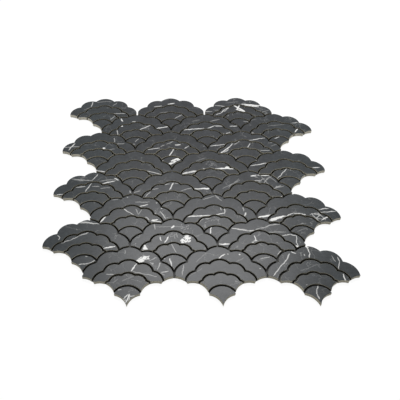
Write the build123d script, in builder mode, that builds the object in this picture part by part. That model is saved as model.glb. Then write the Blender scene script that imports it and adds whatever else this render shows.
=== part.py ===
"""A self-adhesive mosaic sheet in a fan pattern: chips, adhesive backing and release liner.

Millimetres, +Z up. The sheet lies flat on its liner, with the origin in the middle of its
underside. X runs along the rows of fans and +Y from the front row to the back row. Each fan
is four chips: an outer, a middle and an inner crescent, and a base chip that ends in a tip.
"""

import os

from build123d import *

# Lattice of the sheet: every second row is shifted by half a fan
FAN_PITCH = 85.0
ROW_PITCH = 34.0
FANS_PER_ROW = 3
ROWS = 8

# Thicknesses, from the floor up, and the gaps between chips
LINER_THICKNESS = 0.15
BACKING_THICKNESS = 0.5
CHIP_THICKNESS = 3.6
GROOVE = 2.0

# How far the free edges of the sheet stand back: the chips from the joint lines of the
# lattice, and the backing from the chips
EDGE_INSET = 0.4
BACKING_INSET = 0.5

# Joint lines of one fan, as cusps between round lobes: how far across from the middle line,
# and how far down from the top of the fan. A rise is the height of a lobe over its chord.
OUTER_CUSP_1 = (11.9, 5.9)
OUTER_CUSP_2 = (30.5, 17.8)
OUTER_SIDE_RISE = 5.5
OUTER_END_RISE = 3.0
END_BUTT = 3.0

MIDDLE_TOP = 15.2
MIDDLE_CUSP_1 = (9.4, 19.7)
MIDDLE_CUSP_2 = (22.8, 27.8)
MIDDLE_SIDE_RISE = 3.7
MIDDLE_END = (32.3, 39.1)
MIDDLE_END_RISE = 2.7

INNER_TOP = 29.4
INNER_CUSP_1 = (6.1, 31.9)
INNER_CUSP_2 = (17.0, 38.0)
INNER_SIDE_RISE = 2.6
INNER_END = (22.5, 42.6)
INNER_END_RISE = 0.8

BASE_TOP = 43.1
BASE_END = (13.5, 53.1)

HALF_PITCH = FAN_PITCH / 2
FAN_DEPTH = 2 * ROW_PITCH
OUTER_END = (HALF_PITCH, ROW_PITCH - END_BUTT)
BACKING_LEVEL = LINER_THICKNESS
CHIP_LEVEL = BACKING_LEVEL + BACKING_THICKNESS


def region_under(top, points, rises, growth=0.0):
    """Return the area of a fan below one of its joint lines, grown or shrunk all round.

    points are the cusps and the end of the line on its right half, from the middle outwards,
    and rises are those of the lobes between them. The middle lobe rises to the top.
    """
    right = [(across, -down) for across, down in points]
    left = [(-across, down) for across, down in right]
    floor = -2 * FAN_DEPTH
    with BuildSketch() as region:
        with BuildLine():
            SagittaArc(left[0], right[0], -top - right[0][1])
            for start, end, rise in zip(right, right[1:], rises):
                SagittaArc(start, end, rise)
            for start, end, rise in zip(left, left[1:], rises):
                SagittaArc(end, start, rise)
            Polyline(right[-1], (right[-1][0], floor), (left[-1][0], floor), left[-1])
        make_face()
        if growth:
            offset(amount=growth, kind=Kind.INTERSECTION)
    return region.sketch


def under_outer(growth=0.0):
    """Area below the outline of a fan's top."""
    points = [OUTER_CUSP_1, OUTER_CUSP_2, OUTER_END]
    return region_under(0.0, points, [OUTER_SIDE_RISE, OUTER_END_RISE], growth)


def under_middle(growth):
    """Area below the joint of the outer and the middle crescent."""
    points = [MIDDLE_CUSP_1, MIDDLE_CUSP_2, MIDDLE_END]
    return region_under(MIDDLE_TOP, points, [MIDDLE_SIDE_RISE, MIDDLE_END_RISE], growth)


def under_inner(growth):
    """Area below the joint of the middle and the inner crescent."""
    points = [INNER_CUSP_1, INNER_CUSP_2, INNER_END]
    return region_under(INNER_TOP, points, [INNER_SIDE_RISE, INNER_END_RISE], growth)


def under_base(growth):
    """Area below the joint of the inner crescent and the base chip."""
    return region_under(BASE_TOP, [BASE_END], [], growth)


def fan_outline(growth):
    """Outline of a whole fan, cut below by the tops of its two lower neighbours."""
    with BuildSketch() as outline:
        add(under_outer(growth))
        with Locations((-HALF_PITCH, -ROW_PITCH), (HALF_PITCH, -ROW_PITCH)):
            add(under_outer(-growth), mode=Mode.SUBTRACT)
    return outline.sketch


def room_for_fan(gap):
    """Outline of a whole fan with a gap all round it."""
    with BuildSketch() as room:
        add(fan_outline(0.0))
        offset(amount=gap, kind=Kind.ARC)
    return room.sketch


def fan_tops(row, fans):
    """Places of the tops of the given fans of one row, counted from the back row."""
    shift = HALF_PITCH if row % 2 else 0.0
    first = HALF_PITCH + shift - LATTICE_WIDTH / 2
    return [(first + fan * FAN_PITCH, TOP_OF_BACK_ROW - row * ROW_PITCH) for fan in fans]


def fans_beside_sheet(row):
    """Fans of a row of the lattice that belong to the sheets laid round this one."""
    own_fans = FANS if row in range(ROWS) else ()
    return [fan for fan in range(-1, FANS_PER_ROW + 1) if fan not in own_fans]


def row_outline(row):
    """Outline of the fans of one row, a groove away from each other fan of the sheet."""
    with BuildSketch() as outline:
        with Locations(*fan_tops(row, FANS)):
            add(fan_outline(-EDGE_INSET))
        for row_beside in (row - 1, row + 1):
            if row_beside in range(ROWS):
                with Locations(*fan_tops(row_beside, FANS)):
                    add(ROOM_IN_SHEET, mode=Mode.SUBTRACT)
        for across, top in fan_tops(row, FANS[1:]):
            with Locations((across - HALF_PITCH, top - ROW_PITCH)):
                Rectangle(GROOVE, 4 * END_BUTT, mode=Mode.SUBTRACT)
    return outline.sketch


def regions_of_row(row, under, growth):
    """The area below the same joint line in every fan of a row."""
    with BuildSketch() as regions:
        with Locations(*fan_tops(row, FANS)):
            add(under(growth))
    return regions.sketch


def row_of_chips(outline, row, below, above):
    """The chips of a row that lie below one joint line and above the next one."""
    with BuildPart() as chips:
        with BuildSketch(Plane.XY.offset(CHIP_LEVEL)):
            add(outline)
            if below:
                add(regions_of_row(row, below, -GROOVE / 2), mode=Mode.INTERSECT)
            if above:
                add(regions_of_row(row, above, GROOVE / 2), mode=Mode.SUBTRACT)
        extrude(amount=CHIP_THICKNESS)
    return chips.part


# Size of the sheet and its place round the origin
FANS = range(FANS_PER_ROW)
NET_FAN = fan_outline(-EDGE_INSET).bounding_box()
LATTICE_WIDTH = (FANS_PER_ROW + 0.5) * FAN_PITCH
SHEET_DEPTH = (ROWS - 1) * ROW_PITCH + NET_FAN.size.Y
TOP_OF_BACK_ROW = SHEET_DEPTH / 2 - NET_FAN.max.Y

# Outline of the whole sheet, which the backing and the liner share
ROOM_BESIDE_SHEET = room_for_fan(EDGE_INSET + BACKING_INSET)

with BuildSketch() as backing_outline:
    for row in range(ROWS):
        with Locations(*fan_tops(row, FANS)):
            add(fan_outline(0.0))
    for row in range(-1, ROWS + 1):
        with Locations(*fan_tops(row, fans_beside_sheet(row))):
            add(ROOM_BESIDE_SHEET, mode=Mode.SUBTRACT)

# Release liner, the lowest layer
with BuildPart() as release_liner:
    with BuildSketch(Plane.XY):
        add(backing_outline.sketch)
    extrude(amount=LINER_THICKNESS)

# Adhesive backing, which carries all the chips
with BuildPart() as adhesive_backing:
    with BuildSketch(Plane.XY.offset(BACKING_LEVEL)):
        add(backing_outline.sketch)
    extrude(amount=BACKING_THICKNESS)

pieces = {"release_liner": release_liner.part, "adhesive_backing": adhesive_backing.part}

# Chips by kind and row, from the joint lines above and below each kind
JOINTS_OF_KIND = {
    "outer_chips": (None, under_middle),
    "middle_chips": (under_middle, under_inner),
    "inner_chips": (under_inner, under_base),
    "base_chips": (under_base, None),
}
ROOM_IN_SHEET = room_for_fan(GROOVE / 2)

for row in range(ROWS):
    outline = row_outline(row)
    for kind, (below, above) in JOINTS_OF_KIND.items():
        pieces[f"{kind}_row_{row + 1}"] = row_of_chips(outline, row, below, above)

os.makedirs("parts", exist_ok=True)
for name, piece in pieces.items():
    piece.label = name
    export_step(piece, f"parts/{name}.step")
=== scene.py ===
"""Self-adhesive mosaic sheet of marble-look fans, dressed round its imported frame.

The sheet lies flat on a pale floor. Its 96 chips get their faces, arrises and bodies here, and the
adhesive film and the release liner get their finishes.
"""

import math

import bpy
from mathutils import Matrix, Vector
from mathutils.bvhtree import BVHTree


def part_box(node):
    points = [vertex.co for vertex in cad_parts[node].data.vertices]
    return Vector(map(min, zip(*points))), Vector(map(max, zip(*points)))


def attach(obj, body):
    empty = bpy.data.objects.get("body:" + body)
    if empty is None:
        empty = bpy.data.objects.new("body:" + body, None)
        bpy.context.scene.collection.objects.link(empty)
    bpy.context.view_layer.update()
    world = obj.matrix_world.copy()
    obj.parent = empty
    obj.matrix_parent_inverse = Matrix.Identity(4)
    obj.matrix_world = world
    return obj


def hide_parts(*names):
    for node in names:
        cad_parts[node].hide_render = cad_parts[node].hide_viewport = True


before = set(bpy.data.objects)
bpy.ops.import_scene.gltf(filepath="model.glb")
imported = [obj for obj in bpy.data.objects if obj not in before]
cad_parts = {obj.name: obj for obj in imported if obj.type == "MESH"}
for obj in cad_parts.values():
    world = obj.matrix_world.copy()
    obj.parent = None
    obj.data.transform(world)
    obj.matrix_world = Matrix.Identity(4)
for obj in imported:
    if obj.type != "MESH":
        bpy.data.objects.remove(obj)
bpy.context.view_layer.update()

bl_info = {
    "name": "Fan mosaic sheet",
    "version": (1, 0, 0),
    "blender": (4, 5, 0),
    "location": "View3D > Sidebar > Mosaic",
    "description": "Dresses a self-adhesive mosaic sheet of marble-look fans and sets its stage",
    "category": "Object",
}

# The lattice of fans, in millimetres. Row 1 is the back row, and fan 1 of a row is on the left.
# The place of the first fan is in fan pitches across from the middle of the sheet.
FAN_PITCH = 85.0
ROW_PITCH = 34.0
FIRST_FAN = -1.25
TOP_OF_BACK_ROW = 150.5056
ROWS = 8
FANS_PER_ROW = 3
KINDS = ("outer", "middle", "inner", "base")

# Millimetres in a metre, and how close two places are to be the same, in metres
MM = 1000.0
SAME_PLACE = 1e-6

# Faces within the first angle are one flat face, and edges below the second are smooth
FLAT_ANGLE = math.radians(0.5)
SMOOTH_ANGLE = math.radians(40.0)

# A wall or an arris looks for the wall across its joint: how level its normal is at least, and
# in metres how far it looks, from where past its arris, and how far below its own middle
JOINT_MARK = "joint_wall"
LEAST_LEVEL = 0.3
JOINT_REACH = 0.0028
PAST_ARRIS = 0.0004
BELOW_FACE = 0.0005

# Painted light and shade in the joint walls of each row: how light the body is painted there, as a
# share of its colour
JOINT_PAINTED_SHADES = (0.65, 0.8, 1.1, 1.2, 1.1, 0.95, 0.9, 0.9)

# The walls in the joints, in millimetres below the face: they are unshaded for the first depth,
# less the second for each row, and fade over the third into painted shade, which covers this share
UNSHADED_DEPTH = 1.15
LESS_PER_ROW = 0.11
SHADE_FADE = 0.8
SHADE_SHARE = 0.95

# The free walls: the share of painted light at two places along the sheet, front and back, in
# millimetres; they are painted paler towards the back, where they look lit
WALL_LIGHT_PLACES = (-90.0, 110.0)
WALL_LIGHT_SHARES = (0.15, 0.75)

# Half the height over which the face film passes into the body, in millimetres, and how rough
# the body is
FILM_FADE = 0.03
BODY_ROUGHNESS = 0.75

# Length of the print that the chips are cut from, in millimetres, and how the noises lie
PRINT_SPAN = 900.0
NOISE_RANGE = (0.3, 0.7)
NOISE_CENTRE = (0.5, 0.5, 0.5)

# Where the print turns cooler, in millimetres: to both sides of this place, over these distances
COOL_CENTRE = 8.0
COOL_RANGE = (50.0, 130.0)

# The stage: the floor lies just below the liner. Its grey is lighter for the light that it
# throws on the sheet than where it is seen directly, and there it also glows.
WHITE = (1.0, 1.0, 1.0, 1.0)
FLOOR_SIZE = 12.0
FLOOR_HEIGHT = -0.00003
FLOOR_GREYS = (0.78, 0.11)
FLOOR_GLOW = 0.93

# The veins drawn on each chip, by kind, row and fan. A stroke is
# (across, down, across, down, strength, width): its two ends in millimetres from the top of the
# fan, across to the right and down towards the tip, how white it is, and how wide in millimetres.
VEINS = {
    ("outer", 1, 1): [(-15.9, 7.1, -17, 17.2, 0.5, 1.5), (10.5, 15.3, 15.7, 9.4, 0.3, 1.2),
        (-25.7, 23.8, -18.6, 18.7, 0.15, 1.5), (-10.5, 8.4, 1, 6, 0.22, 1.2),
        (1, 6, 8.9, 7.4, 0.22, 1.2)],
    ("outer", 1, 2): [(-21.2, 18.4, -11.2, 16.2, 0.5, 1.6), (-3.2, 13, 4.8, 11, 0.8, 1.9),
        (-13, 5.2, -2.6, 2.7, 0.2, 1.7)],
    ("outer", 1, 3): [(-28, 16.3, -15.4, 18.5, 0.5, 1.2), (6.7, 14, 28.9, 17.4, 1, 2.2),
        (10.5, 16.5, 27.3, 19.5, 1, 1.9), (-41.6, 28.6, -32.8, 29.1, 0.4, 1.4),
        (-13.4, 11.4, 2.4, 8.6, 0.12, 1.7), (30.2, 30.6, 39.5, 27.5, 0.2, 1.4)],
    ("outer", 2, 1): [(-19.8, 8.6, -17.7, 13.1, 0.8, 1.8), (24.1, 27.7, 39.2, 23.7, 0.9, 1.4),
        (-5.3, 14.1, -1.4, 13.7, 0.6, 1.4)],
    ("outer", 2, 2): [(5.8, 14.6, 17.8, 10.6, 0.3, 1.2), (29.3, 24.5, 38.6, 23.7, 0.7, 1.2),
        (-16.4, 14.3, -6.4, 10.9, 0.15, 1.2)],
    ("outer", 2, 3): [(20.8, 19.2, 28, 18, 0.6, 1.2), (-15.8, 20.4, 2.3, 14.8, 0.15, 1.4),
        (-34.9, 16.3, -21.8, 10.6, 0.12, 1.4)],
    ("outer", 3, 1): [(17, 10.6, 17.5, 17.8, 0.35, 1.1), (19.2, 21.7, 29.3, 20.6, 0.35, 1.1),
        (-35.2, 31.7, -29.4, 20.2, 0.8, 1.4), (-41.2, 26.7, -22.6, 25.5, 0.45, 1.2),
        (-11, 18.8, -9.8, 18.9, 0.35, 1.4)],
    ("outer", 3, 2): [(37.5, 26, 38.7, 26, 0.5, 1.1)],
    ("outer", 3, 3): [(-39.8, 26, -22.1, 23.4, 0.75, 1.1), (7.4, 16.6, 26, 12.3, 0.7, 1.1),
        (31.3, 26.8, 46.5, 19.9, 0.15, 1.3)],
    ("outer", 4, 1): [(-41.5, 31.4, -32.6, 33.7, 0.75, 1.3), (-1.4, 26, 11.6, 31.3, 0.3, 1.1)],
    ("outer", 4, 2): [(-15.1, 17.3, -3.4, 11.8, 0.18, 1.1)],
    ("outer", 4, 3): [(-38.9, 25.5, -21.4, 21.6, 0.8, 1.1), (29.6, 29, 37.2, 28.9, 0.85, 1.2)],
    ("outer", 5, 1): [(-2.3, 12.3, 2.8, 4, 0.7, 1), (-22.3, 12.1, -1.8, 12.9, 0.4, 1),
        (8.7, 18.3, 23.2, 13.6, 0.85, 1.2), (22.2, 10.2, 26.3, 12.6, 0.7, 1.9),
        (-38, 33.6, -32.7, 33.2, 0.8, 1), (39.5, 29, 39.7, 31.9, 0.6, 1),
        (-26.2, 10.4, -7.2, 12.9, 0.3, 1), (6, 13.9, 22.3, 11.5, 0.3, 0.9)],
    ("outer", 5, 2): [(-41.5, 31.8, -34.8, 28.7, 0.35, 1), (23.1, 26.5, 31.7, 26, 0.9, 1.1),
        (30.7, 25.9, 38.9, 25.6, 0.9, 2), (25.2, 27, 38.8, 25.6, 1, 1.2),
        (32.8, 26.3, 38.5, 26.7, 1, 1.5)],
    ("outer", 5, 3): [(4.4, 14.9, 10.5, 14.6, 0.6, 1), (22.7, 26.8, 34.9, 23.2, 0.35, 1),
        (26.3, 23.6, 27.3, 23.6, 0.5, 1), (-30.8, 26.3, -11.2, 13.7, 0.25, 1),
        (-25.3, 24.8, -12.3, 12.2, 0.25, 0.9), (1.6, 7.4, 7.9, 9.9, 0.5, 0.9),
        (12.5, 8.4, 19.3, 20.8, 0.3, 0.9), (25.6, 25.6, 31.9, 22.4, 0.4, 1),
        (11.9, 19.9, 22, 10.3, 0.25, 0.9), (13.8, 18.4, 20.3, 10, 0.35, 0.9),
        (9, 17.5, 14.2, 11.5, 0.3, 0.9), (1.5, 8.6, 7.3, 6, 1, 1.6), (9, 6, 20.9, 7.4, 0.95, 1.4),
        (8.6, 16.3, 15.9, 10.9, 0.3, 0.9), (17, 14.7, 24, 7.9, 0.3, 0.9),
        (20.3, 7.5, 28.5, 17.3, 0.25, 0.9)],
    ("outer", 6, 1): [(-5.7, 4.1, -4.7, 4.1, 0.6, 1.2), (8.4, 16.9, 16.6, 14.5, 0.9, 1.1),
        (3.7, 10.8, 18.7, 10.9, 0.3, 1), (25.4, 12.2, 26.5, 12.2, 0.5, 1.2),
        (30.3, 20, 31.4, 20.1, 0.7, 1.2), (29, 23.3, 35.2, 33.4, 0.55, 1),
        (24.1, 26.2, 25.1, 26.2, 0.5, 1.2), (-22.4, 7.5, -10.9, 5.9, 0.2, 1.1)],
    ("outer", 6, 2): [(1.9, 0.5, 7.3, 7.7, 0.35, 1), (30, 18.5, 29.8, 24.4, 0.4, 1),
        (29.7, 30.7, 32.1, 25.9, 0.75, 1.1), (-10.1, 7.7, 1.2, 3.2, 0.3, 0.9),
        (2.3, 3.5, 9.5, 9.8, 0.25, 0.9)],
    ("outer", 6, 3): [(22.4, 22.2, 32.2, 20.8, 0.7, 1), (23.6, 26.5, 38.6, 24.7, 0.75, 1),
        (-42.1, 32.4, -26.1, 28.9, 1, 1.7), (-36.3, 32, -26.3, 29.8, 1, 1.5)],
    ("outer", 7, 1): [(-8.4, 3, 10.7, 5.8, 0.65, 1), (-28.6, 20.4, -26.4, 23.1, 0.6, 0.9),
        (-26.4, 23.1, -27.5, 25.2, 0.6, 0.9), (-38.8, 34.6, -35, 34.6, 0.3, 0.9),
        (-12, 4, 9.4, 5.7, 0.55, 1.2)],
    ("outer", 7, 2): [(-18.8, 6.7, -18.4, 13.1, 0.4, 1), (-1.7, 11.5, 0.4, 9, 0.9, 1.9),
        (-17.3, 9.9, 9.7, 9.8, 0.18, 0.9), (-1.9, 12, 1.3, 9.3, 0.6, 1.1)],
    ("outer", 7, 3): [(-27, 11.8, -11.3, 15.9, 0.7, 1.1), (-11.3, 15.9, -1.2, 14.6, 0.7, 1.1),
        (-3.1, 13.7, 5.8, 11.5, 0.5, 0.9), (5.8, 11.5, 11.9, 8.4, 0.5, 0.9),
        (11.9, 8.4, 21.3, 7.6, 0.5, 0.9), (-41.5, 31.5, -30.5, 31.6, 1, 1.4),
        (9.2, 17.2, 25.9, 17.3, 0.35, 0.9), (21.6, 21.8, 29.6, 20.1, 0.75, 0.9),
        (29.6, 20.1, 35.2, 22.3, 0.75, 0.9), (35.2, 22.3, 33.6, 30.6, 0.75, 0.9),
        (33.6, 30.6, 34.8, 34.2, 0.75, 0.9), (-18.9, 14, -7.4, 16.3, 0.3, 1.7),
        (32.4, 34.2, 34.9, 35.4, 1, 1.5), (-25.8, 11.7, -12.3, 14.5, 0.35, 0.9)],
    ("outer", 8, 1): [(22.1, 19.6, 23.4, 19.6, 0.6, 1.1), (30.8, 29, 36.7, 27.9, 0.6, 0.9),
        (-4.3, 4, -4, 8.1, 0.25, 0.9), (7.3, 16.6, 13.8, 16.2, 1, 3.6),
        (9.9, 14.4, 17.8, 12.6, 1, 3.9), (13.8, 11.5, 18.6, 14.2, 0.95, 3.1),
        (19.2, 16.2, 25.7, 13.1, 0.35, 0.9), (26.9, 26.2, 30.1, 17.4, 0.45, 1),
        (26, 28, 34.1, 32.3, 0.25, 0.9), (20.5, 18.3, 23.2, 21.2, 0.35, 0.9),
        (13.8, 12.6, 19.1, 11, 0.8, 2), (7.8, 18, 11.9, 17.3, 0.9, 2.3)],
    ("outer", 8, 2): [(-0.4, 13.9, 6.1, 9.5, 0.85, 1.2), (8.3, 9.5, 9.4, 9.5, 0.45, 1.1),
        (19.4, 9.6, 20.6, 9.6, 0.8, 1.3), (-33.3, 21.3, -35.5, 32.2, 0.35, 0.9),
        (36.6, 25.6, 37.5, 25.6, 0.5, 1.1), (-21.9, 18.1, -11.9, 7.9, 0.12, 0.8),
        (15.4, 18.3, 23.5, 13.8, 0.12, 0.8)],
    ("outer", 8, 3): [(-37, 33.3, -30, 25, 0.65, 1.1), (-30, 25, -20.9, 14.7, 0.65, 1.1),
        (-20.9, 14.7, -17.8, 9, 0.65, 1.1), (-16.1, 7, -12.3, 8.6, 0.8, 1.1),
        (0.1, 0.8, 0.9, 8.3, 0.8, 1.1), (0.9, 8.3, 0, 14, 0.8, 1.1),
        (-4.4, 9.6, -4.1, 11.5, 0.5, 0.9), (26.3, 13.3, 27.1, 18.1, 0.65, 0.9),
        (27.1, 18.1, 24, 26, 0.65, 0.9), (21.3, 11.6, 23.1, 18.1, 0.35, 0.9),
        (-1, 1.2, 1.6, 2.2, 0.9, 1.4)],
    ("middle", 1, 1): [(13.2, 31.4, 28.4, 31.6, 0.45, 1.2)],
    ("middle", 1, 2): [(-13.6, 30.3, 1.6, 28.5, 0.15, 1.4)],
    ("middle", 1, 3): [(-28.3, 35.2, -21.8, 31.9, 0.7, 1.2), (-21.8, 31.9, -15.8, 24.6, 0.7, 1.2),
        (-15.8, 24.6, -11.8, 21.7, 0.7, 1.2), (-3.7, 17, 8.7, 29.2, 1, 2.3),
        (3.5, 16.7, -1, 25.4, 1, 1.9), (-1.6, 24.9, 8.4, 29.6, 1, 2), (-0.1, 21.2, 5, 25.8, 1, 2.3),
        (-17.6, 29.3, -10.4, 20.3, 0.45, 1.2)],
    ("middle", 2, 1): [(-23.4, 29.8, -21.6, 39.1, 0.5, 1.2), (4.6, 29.4, 17.9, 21.1, 0.8, 1.2),
        (-18.7, 22.4, -17.3, 22.1, 1, 2.8)],
    ("middle", 2, 2): [(-29, 30.7, -2.8, 27.6, 0.9, 1.3), (1.6, 27.6, 10.6, 23.5, 0.8, 1.2),
        (10.6, 23.5, 20.2, 24.2, 0.8, 1.2), (22.7, 38.5, 28.6, 35.2, 0.6, 1.1)],
    ("middle", 2, 3): [(-30.1, 37, -28.9, 37, 0.6, 1.4), (21.5, 36.1, 26.2, 29.6, 0.9, 1.4),
        (-9, 24.3, 10.9, 21.8, 0.15, 1.4)],
    ("middle", 3, 1): [(13.2, 31.1, 18.9, 30.1, 0.3, 1.1), (5.2, 28.3, 6.7, 28.6, 1, 3.1)],
    ("middle", 3, 2): [(-28.1, 31.6, -13.7, 28.8, 0.7, 1.1), (-12.4, 26.1, -8.3, 23.7, 0.4, 1.1),
        (-5.7, 22.5, 1.9, 17.5, 0.4, 1.1), (4.7, 23.9, 10, 23.6, 0.8, 1.7),
        (15, 29.6, 21, 25.3, 0.6, 1.1)],
    ("middle", 3, 3): [(-29.2, 39.2, -16.5, 27, 0.9, 1.3), (-16.5, 27, -13.4, 22.1, 0.9, 1.3),
        (-24.8, 36.7, -18.6, 32.5, 0.7, 1.1), (-11.7, 24.6, -3.8, 17, 0.3, 1.1),
        (3.4, 29.1, 7.5, 22.3, 0.7, 1.1), (17.8, 34.2, 29.3, 34.4, 0.5, 1.1)],
    ("middle", 4, 1): [(15.7, 32.9, 30.1, 38.2, 0.6, 1.1)],
    ("middle", 4, 2): [(-31.2, 37.3, -24.8, 34.5, 0.85, 1.1), (-24.8, 34.5, -15.2, 32.9, 0.85, 1.1),
        (-7.9, 29.6, -5.6, 29.7, 0.5, 1.1), (6.1, 29.8, 27.1, 30.4, 1, 1.3),
        (17.5, 27.8, 20.9, 27.8, 1, 3.2), (11.2, 28.9, 26, 30.1, 1, 1.6),
        (17.4, 27.2, 23.1, 28, 1, 1.8), (-30.7, 37.6, -15.9, 33.8, 0.9, 1.3)],
    ("middle", 5, 1): [(-8.3, 29.2, -3, 17.7, 0.7, 1), (-19.4, 23.4, -9.5, 21.9, 0.7, 1),
        (-0.9, 21.9, 6, 22, 0.35, 1), (7.7, 24.7, 17.3, 23.7, 0.35, 1)],
    ("middle", 5, 2): [(-28.5, 37.5, -24, 30.8, 0.55, 1), (-2.9, 27.3, 1.2, 17.4, 0.85, 1.2),
        (-22.4, 26.7, -14.8, 25.8, 0.45, 1), (-8.6, 19.5, -3.2, 18.9, 0.5, 1),
        (2.3, 17.9, 7.7, 18.5, 0.4, 1), (9.7, 29, 22.1, 24.5, 0.35, 1)],
    ("middle", 5, 3): [(29.1, 38.1, 30.2, 38.1, 0.7, 1.1)],
    ("middle", 6, 1): [(-8.9, 20.2, 2.2, 27.9, 0.6, 1), (-30.6, 37.5, -26.5, 30.1, 0.95, 1.7),
        (14.7, 31.3, 18.4, 35.1, 0.5, 1), (20.7, 36, 30.1, 37.9, 0.85, 1.4),
        (21.1, 35.1, 26.7, 34.7, 1, 1.6), (4.4, 20.4, 7.2, 27.8, 0.3, 1),
        (7.7, 27.1, 10.1, 21.1, 0.3, 0.9)],
    ("middle", 6, 2): [(-27.7, 30.9, -4.7, 29.5, 0.95, 1.2), (2, 28.2, 10.1, 26.3, 0.8, 1.1),
        (10.7, 20.5, 10.5, 26.7, 0.7, 1), (6.8, 19, 7, 22.4, 0.5, 1)],
    ("middle", 6, 3): [(-13.4, 31.4, -5, 27.2, 0.75, 1), (-5, 27.2, 4.4, 27.8, 0.75, 1),
        (4.2, 28.7, 7.1, 28.8, 0.8, 1.2), (22.8, 35.8, 29, 32.6, 0.9, 1.1),
        (-30.1, 36.2, -17.8, 32.9, 1, 2.1), (-28.1, 34.2, -13.9, 30.7, 1, 2),
        (14, 28.1, 21.8, 29.8, 0.5, 1), (15, 32.9, 25.4, 36.1, 0.35, 0.9),
        (-29.4, 36.7, -23.5, 35.4, 1, 2.3), (13.1, 27.9, 18.7, 36.6, 0.5, 1),
        (14.4, 35.7, 24.2, 27.9, 0.55, 1), (20.6, 28.4, 26.4, 36.1, 0.5, 1),
        (21.7, 36.8, 30.1, 31.4, 0.6, 1), (11.4, 29.2, 18.6, 27.6, 0.45, 1),
        (18.6, 27.6, 25.5, 29, 0.45, 1)],
    ("middle", 7, 1): [(-24.1, 29.2, -16.1, 26.2, 0.55, 0.9), (-16.1, 26.2, -8.3, 21.4, 0.55, 0.9),
        (-8.3, 21.4, 1, 16.6, 0.55, 0.9), (17.2, 36.2, 28.7, 33.6, 0.95, 1.2)],
    ("middle", 7, 2): [(-13.4, 22.8, -12.1, 27.1, 0.8, 1.1), (-8.3, 29.3, -5, 22.4, 0.8, 1.7),
        (0.9, 20.3, 1.9, 20.3, 0.4, 0.9), (-30.8, 38.5, -24.3, 38.3, 1, 1.9),
        (-29.7, 36.4, -25.5, 36.7, 1, 2), (-28.9, 34.9, -26.6, 35.5, 1, 2.2),
        (-28.3, 32.6, -27.9, 33.8, 1, 2), (2.6, 17.8, 4.4, 24, 0.25, 0.8),
        (0.1, 20.3, 1.4, 24.7, 0.25, 0.8), (7.5, 26.7, 10.6, 26.3, 1, 4.6),
        (12.4, 25, 15.7, 24, 1, 5.4), (8.3, 28.8, 13.4, 27.2, 1, 4.1),
        (14, 29.1, 16.6, 27.2, 0.9, 2.2), (10.7, 23.3, 14.7, 21.8, 0.95, 3.3)],
    ("middle", 7, 3): [(-5.7, 21.6, -5.1, 27.7, 0.85, 1.1), (-9.3, 29.8, -7.9, 29.5, 0.7, 1.5),
        (-7.6, 28.5, -4.2, 27.6, 0.8, 1.2)],
    ("middle", 8, 1): [(-19.9, 31.1, -12.6, 31.9, 0.45, 0.9), (4.3, 28.1, 26.2, 33.6, 0.35, 0.9),
        (2.5, 28.1, 7.4, 19.6, 0.9, 1.3)],
    ("middle", 8, 2): [(-28.2, 33.3, -16.7, 24.7, 0.12, 0.8)],
    ("middle", 8, 3): [(26.6, 32.2, 27.1, 40.3, 0.85, 1.3), (-11.9, 28.4, 10.3, 19.8, 0.1, 0.8)],
    ("inner", 1, 1): [(9.9, 43, 14.7, 35.9, 0.4, 1.2)],
    ("inner", 1, 2): [(4.5, 42.4, 14.5, 34.7, 0.5, 1.2)],
    ("inner", 1, 3): [(-13.9, 37.8, -12.6, 37.8, 0.3, 1.2)],
    ("inner", 2, 2): [(11.4, 46.8, 12.6, 46.8, 0.6, 1.4)],
    ("inner", 3, 2): [(-2.7, 42.2, 2.5, 30.8, 0.85, 1.3)],
    ("inner", 3, 3): [(-12.8, 47.1, -11.6, 47.1, 0.5, 1.1)],
    ("inner", 4, 3): [(-11.2, 44.2, 0.3, 30.5, 0.65, 1), (-12.4, 45.6, 0.4, 30.5, 0.6, 1)],
    ("inner", 5, 3): [(-5, 30.6, -2.4, 30.7, 0.5, 1)],
    ("inner", 6, 2): [(-15.4, 36.4, -14.4, 36.4, 0.5, 1.1), (-16.4, 36.8, -11.9, 34.2, 0.35, 1),
        (-10.2, 33.7, -4.7, 32.7, 0.35, 1)],
    ("inner", 6, 3): [(1.1, 40.6, 3.2, 40.6, 0.3, 0.9), (-8, 43.8, 5.1, 40.2, 0.2, 0.8)],
    ("inner", 7, 2): [(-2, 31.5, 2, 40.7, 0.4, 0.9)],
    ("inner", 7, 3): [(12.6, 46.2, 16.5, 39.6, 0.5, 0.9)],
    ("inner", 8, 1): [(-5.2, 38.3, 4.6, 33.6, 0.15, 0.9), (-13.2, 40.3, -8.9, 36.2, 0.15, 0.9)],
    ("inner", 8, 3): [(-9.4, 43.2, -8.3, 43.2, 0.3, 1)],
    ("base", 1, 3): [(4.9, 49.1, 11, 49.5, 0.3, 1.2)],
    ("base", 2, 1): [(-4, 57, -0.5, 55.6, 0.5, 1.1), (-0.6, 52.1, 3.4, 46, 0.4, 1.1)],
    ("base", 2, 3): [(-4.8, 47.3, 3, 43.2, 0.6, 1.1)],
    ("base", 3, 2): [(-11.7, 50.3, -9.5, 49.6, 0.4, 1.1), (-4.1, 56.9, 4.7, 51.4, 1, 3.2),
        (-0.4, 51, 8.8, 45.8, 1, 3.5), (5.9, 50.3, 9.9, 48.2, 1, 1.9)],
    ("base", 3, 3): [(10.5, 50.9, 11.6, 51, 0.5, 1.1)],
    ("base", 6, 2): [(-4.7, 44.3, -6.4, 53.1, 0.9, 1.1)],
    ("base", 6, 3): [(4.3, 47.7, 5.3, 47.7, 0.3, 0.9), (-5.1, 50.7, 4.1, 46.7, 0.2, 0.8)],
    ("base", 7, 1): [(-4, 54.4, 5.5, 52.9, 0.65, 0.9), (5.5, 52.9, 10.2, 50.1, 0.65, 0.9),
        (1.3, 45.2, 3, 45.2, 0.5, 0.9)],
    ("base", 7, 2): [(-9.1, 48.4, -8.2, 48.4, 0.5, 1.1), (-3.9, 47.9, -2.5, 55.8, 0.8, 1.1),
        (-2.5, 55.8, -0.2, 62.9, 0.45, 0.9)],
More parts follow.
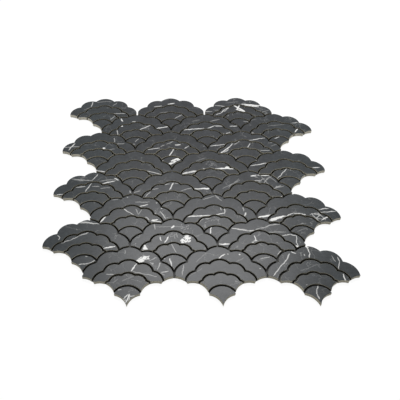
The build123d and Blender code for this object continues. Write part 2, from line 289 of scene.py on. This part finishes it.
    ("base", 7, 3): [(-4.6, 49.3, 5.2, 46.6, 0.45, 0.9)],
    ("base", 8, 1): [(-8.2, 48, -5.8, 46.9, 0.4, 0.9), (2.8, 53.9, 9, 53.7, 0.55, 0.9),
        (-4.5, 56.4, -0.7, 61.3, 0.75, 1.5), (2.5, 51.5, -0.4, 60.2, 0.9, 1.1),
        (2.9, 52.1, 1.9, 60.4, 0.6, 0.9), (1.1, 52.1, -3.4, 56.8, 0.7, 0.9),
        (-2.6, 58.2, -0.5, 57.8, 0.5, 1.3)],
    ("base", 8, 3): [(1, 44.7, -0.9, 47.7, 0.6, 1.1), (-0.9, 47.7, -1.6, 53.4, 0.6, 1.1),
        (-1.6, 53.4, -0.6, 57.6, 0.6, 1.1)],
}


def row_shift(row):
    """How far a row is shifted to the right, in fan pitches."""
    return 0.5 if row % 2 == 0 else 0.0


def fan_top(row, fan):
    """Where the top of a fan lies across and along the sheet, in millimetres."""
    across = (FIRST_FAN + (fan - 1) + row_shift(row)) * FAN_PITCH
    return across, TOP_OF_BACK_ROW - ROW_PITCH * (row - 1)


# Settings


class MosaicSettings(bpy.types.PropertyGroup):
    """Sizes and colours of the mosaic sheet and of its stage."""

    arris: bpy.props.FloatProperty(
        name="Arris",
        description="Width of the small bevel round the face of a chip",
        default=0.0003,
        unit="LENGTH",
    )
    film: bpy.props.FloatProperty(
        name="Face film",
        description="Thickness of the printed face film, below which the body shows",
        default=0.00006,
        unit="LENGTH",
    )
    charcoal: bpy.props.FloatVectorProperty(
        name="Charcoal",
        description="Ground colour of the marble print",
        default=(0.0300, 0.0326, 0.0366, 1.0),
        size=4,
        subtype="COLOR",
    )
    slate: bpy.props.FloatVectorProperty(
        name="Slate",
        description="Cooler ground colour of the print towards the sides of the sheet",
        default=(0.0272, 0.0330, 0.0366, 1.0),
        size=4,
        subtype="COLOR",
    )
    vein: bpy.props.FloatVectorProperty(
        name="Vein",
        description="Colour of the white veins",
        default=(0.88, 0.88, 0.86, 1.0),
        size=4,
        subtype="COLOR",
    )
    body: bpy.props.FloatVectorProperty(
        name="Chip body",
        description="Olive-grey stone-plastic body that shows at the edges of a chip",
        default=(0.46, 0.435, 0.34, 1.0),
        size=4,
        subtype="COLOR",
    )
    # Painted light: the pale colour that the free walls are painted, most towards the back
    painted_wall_light: bpy.props.FloatVectorProperty(
        name="Dust",
        description="Pale dust of the cut on the free edges of the chips",
        default=(0.80, 0.77, 0.66, 1.0),
        size=4,
        subtype="COLOR",
    )
    # Painted shade: near black on the top of the adhesive film in the grooves and on the deep joint
    # walls, standing in for their shade
    adhesive: bpy.props.FloatVectorProperty(
        name="Adhesive",
        description="Colour of the adhesive film below the chips",
        default=(0.012, 0.012, 0.012, 1.0),
        size=4,
        subtype="COLOR",
    )
    film_edge: bpy.props.FloatVectorProperty(
        name="Film edge",
        description="Colour of the clear carrier film at the cut edge of the adhesive",
        default=(0.62, 0.60, 0.54, 1.0),
        size=4,
        subtype="COLOR",
    )
    paper: bpy.props.FloatVectorProperty(
        name="Release paper",
        description="Colour of the siliconised release liner",
        default=(0.74, 0.72, 0.64, 1.0),
        size=4,
        subtype="COLOR",
    )
    sky: bpy.props.FloatProperty(
        name="Room light",
        description="Strength of the even light of the room",
        default=0.268,
    )
    softbox: bpy.props.FloatProperty(
        name="Softbox",
        description="Power of the softbox behind the sheet",
        default=9.2,
        subtype="POWER",
    )


# Helpers for objects


def select_only(piece):
    """Deselects all and makes one object selected and active."""
    bpy.ops.object.select_all(action="DESELECT")
    piece.select_set(True)
    bpy.context.view_layer.objects.active = piece


def solid_copy(node, name):
    """A new object with the node's mesh, welded, with its flat faces whole again."""
    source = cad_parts[node]
    piece = bpy.data.objects.new(name, source.data.copy())
    piece.data.name = name
    bpy.context.scene.collection.objects.link(piece)
    select_only(piece)
    bpy.ops.mesh.customdata_custom_splitnormals_clear()
    bpy.ops.object.mode_set(mode="EDIT")
    bpy.ops.mesh.select_all(action="SELECT")
    bpy.ops.mesh.remove_doubles(threshold=SAME_PLACE)
    bpy.ops.mesh.dissolve_limited(angle_limit=FLAT_ANGLE)
    bpy.ops.mesh.select_all(action="DESELECT")
    bpy.ops.object.mode_set(mode="OBJECT")
    return piece


def chip_walls():
    """A search tree of the faces of all chips, as they were packed."""
    points, faces = [], []
    for kind in KINDS:
        for row in range(1, ROWS + 1):
            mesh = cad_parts[f"{kind}_chips_row_{row}"].data
            first = len(points)
            points += [vertex.co.copy() for vertex in mesh.vertices]
            faces += [[first + corner for corner in face.vertices] for face in mesh.polygons]
    return BVHTree.FromPolygons(points, faces)


def mark_joint_walls(piece, walls):
    """Marks the walls and arrises that face another chip across a joint, for the material."""
    marks = piece.data.attributes.new(JOINT_MARK, "FLOAT", "FACE")
    for face in piece.data.polygons:
        outward = Vector((face.normal.x, face.normal.y, 0.0))
        across = None
        if outward.length > LEAST_LEVEL:
            outward.normalize()
            start = face.center + outward * PAST_ARRIS - Vector((0.0, 0.0, BELOW_FACE))
            across = walls.ray_cast(start, outward, JOINT_REACH - PAST_ARRIS)[0]
        marks.data[face.index].value = 1.0 if across else 0.0


def give_material(piece, material):
    """Makes the material the only one of an object."""
    if not piece.material_slots:
        piece.data.materials.append(material)
    for place in piece.material_slots:
        place.material = material


# Helpers for materials


class Graph:
    """A node tree with short ways to add nodes and to join them."""

    def __init__(self, tree):
        self.tree = tree
        self.tree.nodes.clear()

    def add(self, kind, inputs=None, **values):
        """A new node. Its inputs are numbers, colours or the sockets that feed them."""
        made = self.tree.nodes.new("ShaderNode" + kind)
        for name, value in values.items():
            setattr(made, name, value)
        for key, value in (inputs or {}).items():
            if isinstance(value, bpy.types.NodeSocket):
                self.tree.links.new(value, made.inputs[key])
            else:
                made.inputs[key].default_value = value
        return made

    def math(self, operation, first, second=0.0, third=0.0, clamp=False):
        """The result of a Math node."""
        inputs = {0: first, 1: second, 2: third}
        return self.add("Math", inputs, operation=operation, use_clamp=clamp).outputs[0]

    def product(self, first, *others):
        """Numbers multiplied together."""
        for other in others:
            first = self.math("MULTIPLY", first, other)
        return first

    def vector(self, operation, first, second, output=0):
        """The result of a Vector Math node."""
        inputs = {0: first, 1: second}
        return self.add("VectorMath", inputs, operation=operation).outputs[output]

    def scaled(self, first, scale):
        """A vector or a colour times a number."""
        return self.add("VectorMath", {0: first, "Scale": scale}, operation="SCALE").outputs[0]

    def spread(self, value, low, high, to_low=0.0, to_high=1.0, smooth=False):
        """A Map Range node from low..high to to_low..to_high."""
        inputs = {"Value": value, "From Min": low, "From Max": high}
        inputs.update({"To Min": to_low, "To Max": to_high})
        kind = "SMOOTHSTEP" if smooth else "LINEAR"
        return self.add("MapRange", inputs, interpolation_type=kind).outputs[0]

    def noise(self, where, scale, detail, output=0, roughness=0.5):
        """A Noise Texture node read at a point: its number, or with output=1 its colour."""
        inputs = {"Vector": where, "Scale": scale, "Detail": detail, "Roughness": roughness}
        return self.add("TexNoise", inputs).outputs[output]

    def swing(self, noise, low, high):
        """A noise, which mostly lies in NOISE_RANGE, brought to low..high."""
        return self.spread(noise, *NOISE_RANGE, low, high)

    def colours(self, share, first, second):
        """A colour between two, by a share. They are sockets 6 and 7 of a Mix node."""
        inputs = {0: share, 6: first, 7: second}
        return self.add("Mix", inputs, data_type="RGBA").outputs[2]

    def between(self, share, first, second):
        """A number between two, by a share. They are sockets 2 and 3 of a Mix node."""
        inputs = {0: share, 2: first, 3: second}
        return self.add("Mix", inputs, data_type="FLOAT").outputs[0]

    def place_in_mm(self):
        """The shaded point in the object's own coordinates, in millimetres."""
        return self.scaled(self.add("TexCoord").outputs["Object"], MM)

    def surface(self, colour, roughness, height, strength, distance, specular=0.5):
        """Ends a material with its shader, over a fine bump."""
        bump = self.add("Bump", {"Strength": strength, "Distance": distance, "Height": height})
        inputs = {"Base Color": colour, "Roughness": roughness, "Normal": bump.outputs[0]}
        inputs["Specular IOR Level"] = specular
        shader = self.add("BsdfPrincipled", inputs)
        self.add("OutputMaterial", {"Surface": shader.outputs[0]})


def new_material(name):
    """An empty material and its graph."""
    material = bpy.data.materials.new(name)
    material.use_nodes = True
    return material, Graph(material.node_tree)


# Marble of the chips


def vein_group():
    """A node group: how much of one vein stroke covers a point."""
    found = bpy.data.node_groups.get("vein_stroke")
    if found:
        return found
    group = bpy.data.node_groups.new("vein_stroke", "ShaderNodeTree")
    for name, kind in (
        ("Point", "NodeSocketVector"),
        ("From", "NodeSocketVector"),
        ("To", "NodeSocketVector"),
        ("Strength", "NodeSocketFloat"),
        ("Width", "NodeSocketFloat"),
        ("Grain", "NodeSocketFloat"),
    ):
        group.interface.new_socket(name, in_out="INPUT", socket_type=kind)
    group.interface.new_socket("Cover", in_out="OUTPUT", socket_type="NodeSocketFloat")
    graph = Graph(group)
    start = group.nodes.new("NodeGroupInput")
    end = group.nodes.new("NodeGroupOutput")
    point, first, last, strength, width, grain = start.outputs[:6]

    # Distance of the point from the line between the two ends
    line = graph.vector("SUBTRACT", last, first)
    from_first = graph.vector("SUBTRACT", point, first)
    along = graph.vector("DOT_PRODUCT", from_first, line, output=1)
    length_2 = graph.vector("DOT_PRODUCT", line, line, output=1)
    share = graph.math("DIVIDE", along, length_2, clamp=True)
    away = graph.vector("DISTANCE", from_first, graph.scaled(line, share), output=1)

    # Half the width there: full in the middle of the stroke, thinner at its ends, ragged
    ends = graph.product(share, graph.math("SUBTRACT", 1.0, share))
    belly = graph.spread(ends, 0.0, 0.2, 0.55, 1.0, smooth=True)
    ragged = graph.product(width, belly, 0.5, graph.swing(grain, 0.75, 1.2))
    soft_in = graph.product(ragged, 0.6)
    soft_out = graph.math("ADD", ragged, 0.14)
    edge = graph.spread(away, soft_out, soft_in, smooth=True)

    # Broad strokes are patches with holes in them
    whole = graph.spread(graph.spread(width, 2.2, 3.6), 0.0, 1.0, 1.0, 0.0)
    holes = graph.spread(grain, 0.33, 0.45, smooth=True)
    filled = graph.math("MAXIMUM", holes, whole)
    cover = graph.math("MULTIPLY", graph.product(edge, strength), filled, clamp=True)
    group.links.new(cover, end.inputs[0])
    return group


def strokes_of(kind, row):
    """The vein strokes of one row of chips, as two ends in millimetres, strength and width."""
    found = []
    for fan in range(1, FANS_PER_ROW + 1):
        across, along = fan_top(row, fan)
        for stroke in VEINS.get((kind, row, fan), []):
            first = (across + stroke[0], along - stroke[1], 0.0)
            last = (across + stroke[2], along - stroke[3], 0.0)
            found.append((first, last, stroke[4], stroke[5]))
    return found


def place_on_print(graph, flat, across, kind, row):
    """A chance number of each chip, and the place of the print that the chip is cut from."""
    turn = graph.math("MULTIPLY_ADD", across, 1.0 / FAN_PITCH, 0.5 - FIRST_FAN - row_shift(row))
    number = graph.math("FLOOR", turn)
    seed = graph.add("CombineXYZ", {0: number, 1: float(row), 2: float(KINDS.index(kind))})
    chance = graph.add("TexWhiteNoise", {"Vector": seed.outputs[0]}, noise_dimensions="3D")
    elsewhere = graph.scaled(chance.outputs["Color"], PRINT_SPAN)
    return chance.outputs["Value"], graph.vector("ADD", flat, elsewhere)


def print_ground(graph, across, cut, chance, settings):
    """Charcoal with slow clouds, a mottle and fine streaks, cooler towards the sides."""
    clouds = graph.noise(cut, 0.055, 4.0, roughness=0.6)
    mottle = graph.noise(cut, 0.35, 3.0, roughness=0.65)
    drawn_out = graph.vector("MULTIPLY", cut, (0.35, 1.1, 1.0))
    streaks = graph.noise(drawn_out, 0.5, 3.0, roughness=0.7)
    tone = graph.product(
        graph.swing(clouds, 0.8, 1.2),
        graph.swing(mottle, 0.82, 1.2),
        graph.swing(streaks, 0.82, 1.2),
        graph.spread(chance, 0.0, 1.0, 0.94, 1.07),
    )
    beside = graph.math("ABSOLUTE", graph.math("SUBTRACT", across, COOL_CENTRE))
    cool = graph.spread(beside, *COOL_RANGE, smooth=True)
    plain = graph.colours(cool, settings.charcoal, settings.slate)
    return graph.scaled(plain, tone), mottle


def vein_cover(graph, flat, cut, chance, kind, row):
    """How much vein covers a point: a few faint hairlines, and the strokes of the chips."""
    # The veins run a little crooked: the point is moved by noise before they are measured.
    wobble = graph.vector("SUBTRACT", graph.noise(flat, 0.22, 2.0, output=1), NOISE_CENTRE)
    fine = graph.vector("SUBTRACT", graph.noise(flat, 0.9, 2.0, output=1), NOISE_CENTRE)
    moved = graph.vector("ADD", flat, graph.scaled(wobble, 2.2))
    moved = graph.vector("ADD", moved, graph.scaled(fine, 0.9))
    moved = graph.vector("MULTIPLY", moved, (1.0, 1.0, 0.0))
    grain = graph.noise(flat, 0.42, 3.0, roughness=0.6)

    crooked = graph.vector("ADD", cut, graph.scaled(wobble, 9.0))
    crackle = graph.add(
        "TexVoronoi", {"Vector": crooked, "Scale": 0.075}, feature="DISTANCE_TO_EDGE"
    ).outputs[0]
    where = graph.spread(graph.noise(cut, 0.05, 1.0), 0.48, 0.64, smooth=True)
    faint = graph.spread(chance, 0.4, 1.0, 0.14, 0.32)
    cover = graph.product(graph.spread(crackle, 0.022, 0.0), where, faint)
    for first, last, strength, width in strokes_of(kind, row):
        inputs = {"Point": moved, "From": first, "To": last}
        inputs.update({"Strength": strength, "Width": width, "Grain": grain})
        stroke = graph.add("Group", inputs, node_tree=vein_group())
        cover = graph.math("MAXIMUM", cover, stroke.outputs[0])
    return cover


def chip_body(graph, mm, along, height, top, row, settings):
    """Olive-grey filled plastic, with painted shade in the joints and painted light on the free
    walls.
    """
    speckle = graph.noise(mm, 2.6, 2.0, roughness=0.7)
    bands = graph.noise(graph.vector("MULTIPLY", mm, (0.12, 0.12, 1.4)), 1.0, 2.0)
    shade = graph.product(graph.swing(speckle, 0.84, 1.12), graph.swing(bands, 0.92, 1.08))
    core = graph.scaled(settings.body[:3], shade)

    # Painted shade in the joints: the walls are painted lighter or darker by row, and deeper down
    # they fade into the near black of the adhesive.
    in_joint = graph.add("Attribute", attribute_name=JOINT_MARK).outputs["Fac"]
    unshaded_depth = UNSHADED_DEPTH - LESS_PER_ROW * row
    painted_shade = graph.spread(height, top - unshaded_depth, top - unshaded_depth - SHADE_FADE, smooth=True)
    painted_shade = graph.product(painted_shade, in_joint, SHADE_SHARE)
    core = graph.colours(in_joint, core, graph.scaled(core, JOINT_PAINTED_SHADES[row - 1]))
    core = graph.colours(painted_shade, core, settings.adhesive)

    # Painted light: the free walls are painted paler, most of it towards the back, where they look
    # lit.
    painted_wall_light = graph.spread(along, *WALL_LIGHT_PLACES, *WALL_LIGHT_SHARES)
    painted_wall_light = graph.product(painted_wall_light, graph.math("SUBTRACT", 1.0, in_joint))
    return graph.colours(painted_wall_light, core, settings.painted_wall_light)


def marble(kind, row, settings):
    """Printed marble face with its veins, on the body that shows at the edges."""
    material, graph = new_material(f"marble_{kind}_{row}")
    mm = graph.place_in_mm()
    across, along, height = graph.add("SeparateXYZ", {0: mm}).outputs[:3]
    flat = graph.add("CombineXYZ", {0: across, 1: along}).outputs[0]
    chance, cut = place_on_print(graph, flat, across, kind, row)
    ground, mottle = print_ground(graph, across, cut, chance, settings)
    cover = vein_cover(graph, flat, cut, chance, kind, row)
    face = graph.colours(cover, ground, settings.vein)

    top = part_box(f"{kind}_chips_row_{row}")[1].z * MM
    body = chip_body(graph, mm, along, height, top, row, settings)
    below = top - settings.film * MM
    in_film = graph.spread(height, below - FILM_FADE, below + FILM_FADE, smooth=True)
    colour = graph.colours(in_film, body, face)
    rough = graph.between(in_film, BODY_ROUGHNESS, graph.swing(mottle, 0.28, 0.32))
    skin = graph.noise(mm, 3.2, 3.0, roughness=0.6)
    graph.surface(colour, rough, skin, strength=0.12, distance=0.0001, specular=0.2)
    return material


# Adhesive and liner


def adhesive_film(settings):
    """Adhesive with a soft, slightly rolled surface, on a film with a pale cut edge; its top is
    painted near black as the shade in the grooves.
    """
    material, graph = new_material("adhesive_film")
    mm = graph.place_in_mm()
    roll = graph.noise(graph.vector("MULTIPLY", mm, (1.0, 0.15, 1.0)), 0.8, 3.0)
    # Painted shade: the top of the film is near black, as the shade between the chips
    black = graph.scaled(settings.adhesive[:3], graph.swing(roll, 0.75, 1.3))
    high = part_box("adhesive_backing")[1].z * MM
    height = graph.add("SeparateXYZ", {0: mm}).outputs[2]
    on_top = graph.spread(height, high - 0.06, high - 0.01)
    colour = graph.colours(on_top, settings.film_edge, black)
    graph.surface(colour, graph.swing(roll, 0.5, 0.7), roll, strength=0.3, distance=0.00008)
    return material


def release_paper(settings):
    """Smooth siliconised paper: pale, with short fibres and a faint cockle."""
    material, graph = new_material("release_paper")
    mm = graph.place_in_mm()
    fibre = graph.noise(graph.vector("MULTIPLY", mm, (0.35, 1.6, 1.0)), 1.3, 4.0, roughness=0.65)
    cloud = graph.noise(mm, 0.03, 3.0)
    tone = graph.product(graph.swing(fibre, 0.95, 1.03), graph.swing(cloud, 0.96, 1.03))
    colour = graph.scaled(settings.paper[:3], tone)
    height = graph.math("MULTIPLY_ADD", fibre, 0.2, cloud)
    graph.surface(colour, graph.swing(fibre, 0.34, 0.46), height, strength=0.25, distance=0.0003)
    return material


# Chips


def finished_chips(node, name, settings):
    """One row of one kind of chip, with a fine arris round the faces and smooth walls."""
    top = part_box(node)[1].z
    piece = solid_copy(node, name)
    mesh = piece.data
    for edge in mesh.edges:
        edge.select = all(abs(mesh.vertices[v].co.z - top) < SAME_PLACE for v in edge.vertices)
    bpy.ops.object.mode_set(mode="EDIT")
    bpy.ops.mesh.select_mode(type="EDGE")
    bpy.ops.mesh.bevel(offset=settings.arris, segments=2, affect="EDGES", clamp_overlap=True)
    bpy.ops.object.mode_set(mode="OBJECT")
    bpy.ops.object.shade_smooth_by_angle(angle=SMOOTH_ANGLE)
    bpy.ops.object.modifier_add(type="WEIGHTED_NORMAL")
    piece.modifiers[-1].keep_sharp = True
    bpy.ops.object.modifier_apply(modifier=piece.modifiers[-1].name)
    return piece


def chips_of_kind(kind, settings):
    """Makes all rows of one kind of chip, in marble."""
    walls = chip_walls()
    for row in range(1, ROWS + 1):
        node = f"{kind}_chips_row_{row}"
        piece = finished_chips(node, f"{kind}_marble_row_{row}", settings)
        mark_joint_walls(piece, walls)
        piece.data.materials.clear()
        give_material(piece, marble(kind, row, settings))
        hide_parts(node)
        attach(piece, "root")


# Stage


def make_camera():
    """The camera at the photograph's viewing angle."""
    bpy.ops.object.camera_add(
        location=(-0.03001, -0.34629, 0.36312),
        rotation=[math.radians(turn) for turn in (41.5991, 0.6115, 0.1025)],
    )
    camera = bpy.context.object
    camera.name = "camera"
    camera.data.sensor_width = 36.0
    camera.data.lens = 41.12
    camera.data.shift_x = 0.0996
    camera.data.clip_start = 0.01
    camera.data.clip_end = 50.0
    bpy.context.scene.camera = camera


def seen_directly(graph):
    """1 for camera, mirror and glass rays, which see the pale room itself."""
    path = graph.add("LightPath")
    seen = graph.math("MAXIMUM", path.outputs["Is Camera Ray"], path.outputs["Is Glossy Ray"])
    return graph.math("MAXIMUM", seen, path.outputs["Is Transmission Ray"])


def make_floor():
    """A plain pale floor that keeps the sheet's shadow and can be looked through from below."""
    bpy.ops.object.select_all(action="DESELECT")
    bpy.ops.mesh.primitive_plane_add(size=FLOOR_SIZE, location=(0.0, 0.0, FLOOR_HEIGHT))
    floor = bpy.context.object
    floor.name = "floor"
    bpy.ops.object.transform_apply(location=True, rotation=False, scale=True)
    material, graph = new_material("pale_floor")
    place = graph.add("TexCoord").outputs["Object"]
    tone = graph.swing(graph.noise(place, 3.0, 3.0), 0.985, 1.0)
    seen = seen_directly(graph)
    share = graph.spread(seen, 0.0, 1.0, *FLOOR_GREYS)
    grey = graph.add("CombineColor", {0: share, 1: share, 2: share}).outputs[0]
    matt = graph.add("BsdfDiffuse", {"Color": graph.scaled(grey, tone)})
    glow = graph.add("Emission", {"Color": WHITE, "Strength": graph.product(seen, FLOOR_GLOW)})
    lit = graph.add("AddShader", {0: matt.outputs[0], 1: glow.outputs[0]})
    clear = graph.add("BsdfTransparent")
    back = graph.add("NewGeometry").outputs["Backfacing"]
    both = graph.add("MixShader", {0: back, 1: lit.outputs[0], 2: clear.outputs[0]})
    graph.add("OutputMaterial", {"Surface": both.outputs[0]})
    floor.data.materials.append(material)


def make_lights(settings):
    """One softbox above and behind the sheet, aimed at its middle."""
    bpy.ops.object.light_add(type="AREA", location=(0.075, 0.50, 0.94))
    softbox = bpy.context.object
    softbox.name = "softbox"
    softbox.rotation_mode = "QUATERNION"
    softbox.rotation_quaternion = softbox.location.to_track_quat("Z", "Y")
    softbox.data.shape = "RECTANGLE"
    softbox.data.size = 0.60
    softbox.data.size_y = 0.34
    softbox.data.energy = settings.softbox
    softbox.visible_camera = False


def make_background(settings):
    """An even room light, with a white background where it is seen directly."""
    world = bpy.data.worlds.new("room")
    bpy.context.scene.world = world
    world.use_nodes = True
    graph = Graph(world.node_tree)
    strength = graph.spread(seen_directly(graph), 0.0, 1.0, settings.sky, 1.0)
    light = graph.add("Background", {"Color": WHITE, "Strength": strength})
    graph.add("OutputWorld", {"Surface": light.outputs[0]})


# Operators and panel


class MOSAIC_OT_stage(bpy.types.Operator):
    """Makes the camera, the lights, the floor and the background"""

    bl_idname = "mosaic.stage"
    bl_label = "Stage"

    def execute(self, context):
        settings = context.scene.mosaic
        make_camera()
        make_floor()
        make_lights(settings)
        make_background(settings)
        context.scene.view_settings.view_transform = "Standard"
        return {"FINISHED"}


class MOSAIC_OT_outer_chips(bpy.types.Operator):
    """Finishes the outer crescent chips"""

    bl_idname = "mosaic.outer_chips"
    bl_label = "Outer chips"

    def execute(self, context):
        chips_of_kind("outer", context.scene.mosaic)
        return {"FINISHED"}


class MOSAIC_OT_middle_chips(bpy.types.Operator):
    """Finishes the middle crescent chips"""

    bl_idname = "mosaic.middle_chips"
    bl_label = "Middle chips"

    def execute(self, context):
        chips_of_kind("middle", context.scene.mosaic)
        return {"FINISHED"}


class MOSAIC_OT_inner_chips(bpy.types.Operator):
    """Finishes the inner crescent chips"""

    bl_idname = "mosaic.inner_chips"
    bl_label = "Inner chips"

    def execute(self, context):
        chips_of_kind("inner", context.scene.mosaic)
        return {"FINISHED"}


class MOSAIC_OT_base_chips(bpy.types.Operator):
    """Finishes the base chips with their tips"""

    bl_idname = "mosaic.base_chips"
    bl_label = "Base chips"

    def execute(self, context):
        chips_of_kind("base", context.scene.mosaic)
        return {"FINISHED"}


class MOSAIC_OT_backing(bpy.types.Operator):
    """Gives the adhesive film and the release liner their finishes"""

    bl_idname = "mosaic.backing"
    bl_label = "Adhesive and liner"

    def execute(self, context):
        settings = context.scene.mosaic
        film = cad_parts["adhesive_backing"]
        give_material(film, adhesive_film(settings))
        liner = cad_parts["release_liner"]
        give_material(liner, release_paper(settings))
        return {"FINISHED"}


class MOSAIC_PT_panel(bpy.types.Panel):
    """Lists the steps that dress the mosaic sheet"""

    bl_idname = "MOSAIC_PT_panel"
    bl_label = "Fan mosaic sheet"
    bl_space_type = "VIEW_3D"
    bl_region_type = "UI"
    bl_category = "Mosaic"

    def draw(self, context):
        for name in MosaicSettings.__annotations__:
            self.layout.prop(context.scene.mosaic, name)
        for step in STEPS:
            self.layout.operator(step.bl_idname)


STEPS = (
    MOSAIC_OT_stage,
    MOSAIC_OT_outer_chips,
    MOSAIC_OT_middle_chips,
    MOSAIC_OT_inner_chips,
    MOSAIC_OT_base_chips,
    MOSAIC_OT_backing,
)
CLASSES = (MosaicSettings, *STEPS, MOSAIC_PT_panel)


def register():
    """Makes the settings, the operators and the panel known."""
    for each in CLASSES:
        bpy.utils.register_class(each)
    bpy.types.Scene.mosaic = bpy.props.PointerProperty(type=MosaicSettings)


def unregister():
    """Takes them away again."""
    del bpy.types.Scene.mosaic
    for each in reversed(CLASSES):
        bpy.utils.unregister_class(each)


def main():
    """Dresses the sheet."""
    register()
    bpy.ops.mosaic.stage()
    bpy.ops.mosaic.outer_chips()
    bpy.ops.mosaic.middle_chips()
    bpy.ops.mosaic.inner_chips()
    bpy.ops.mosaic.base_chips()
    bpy.ops.mosaic.backing()


if __name__ == "__main__":
    main()
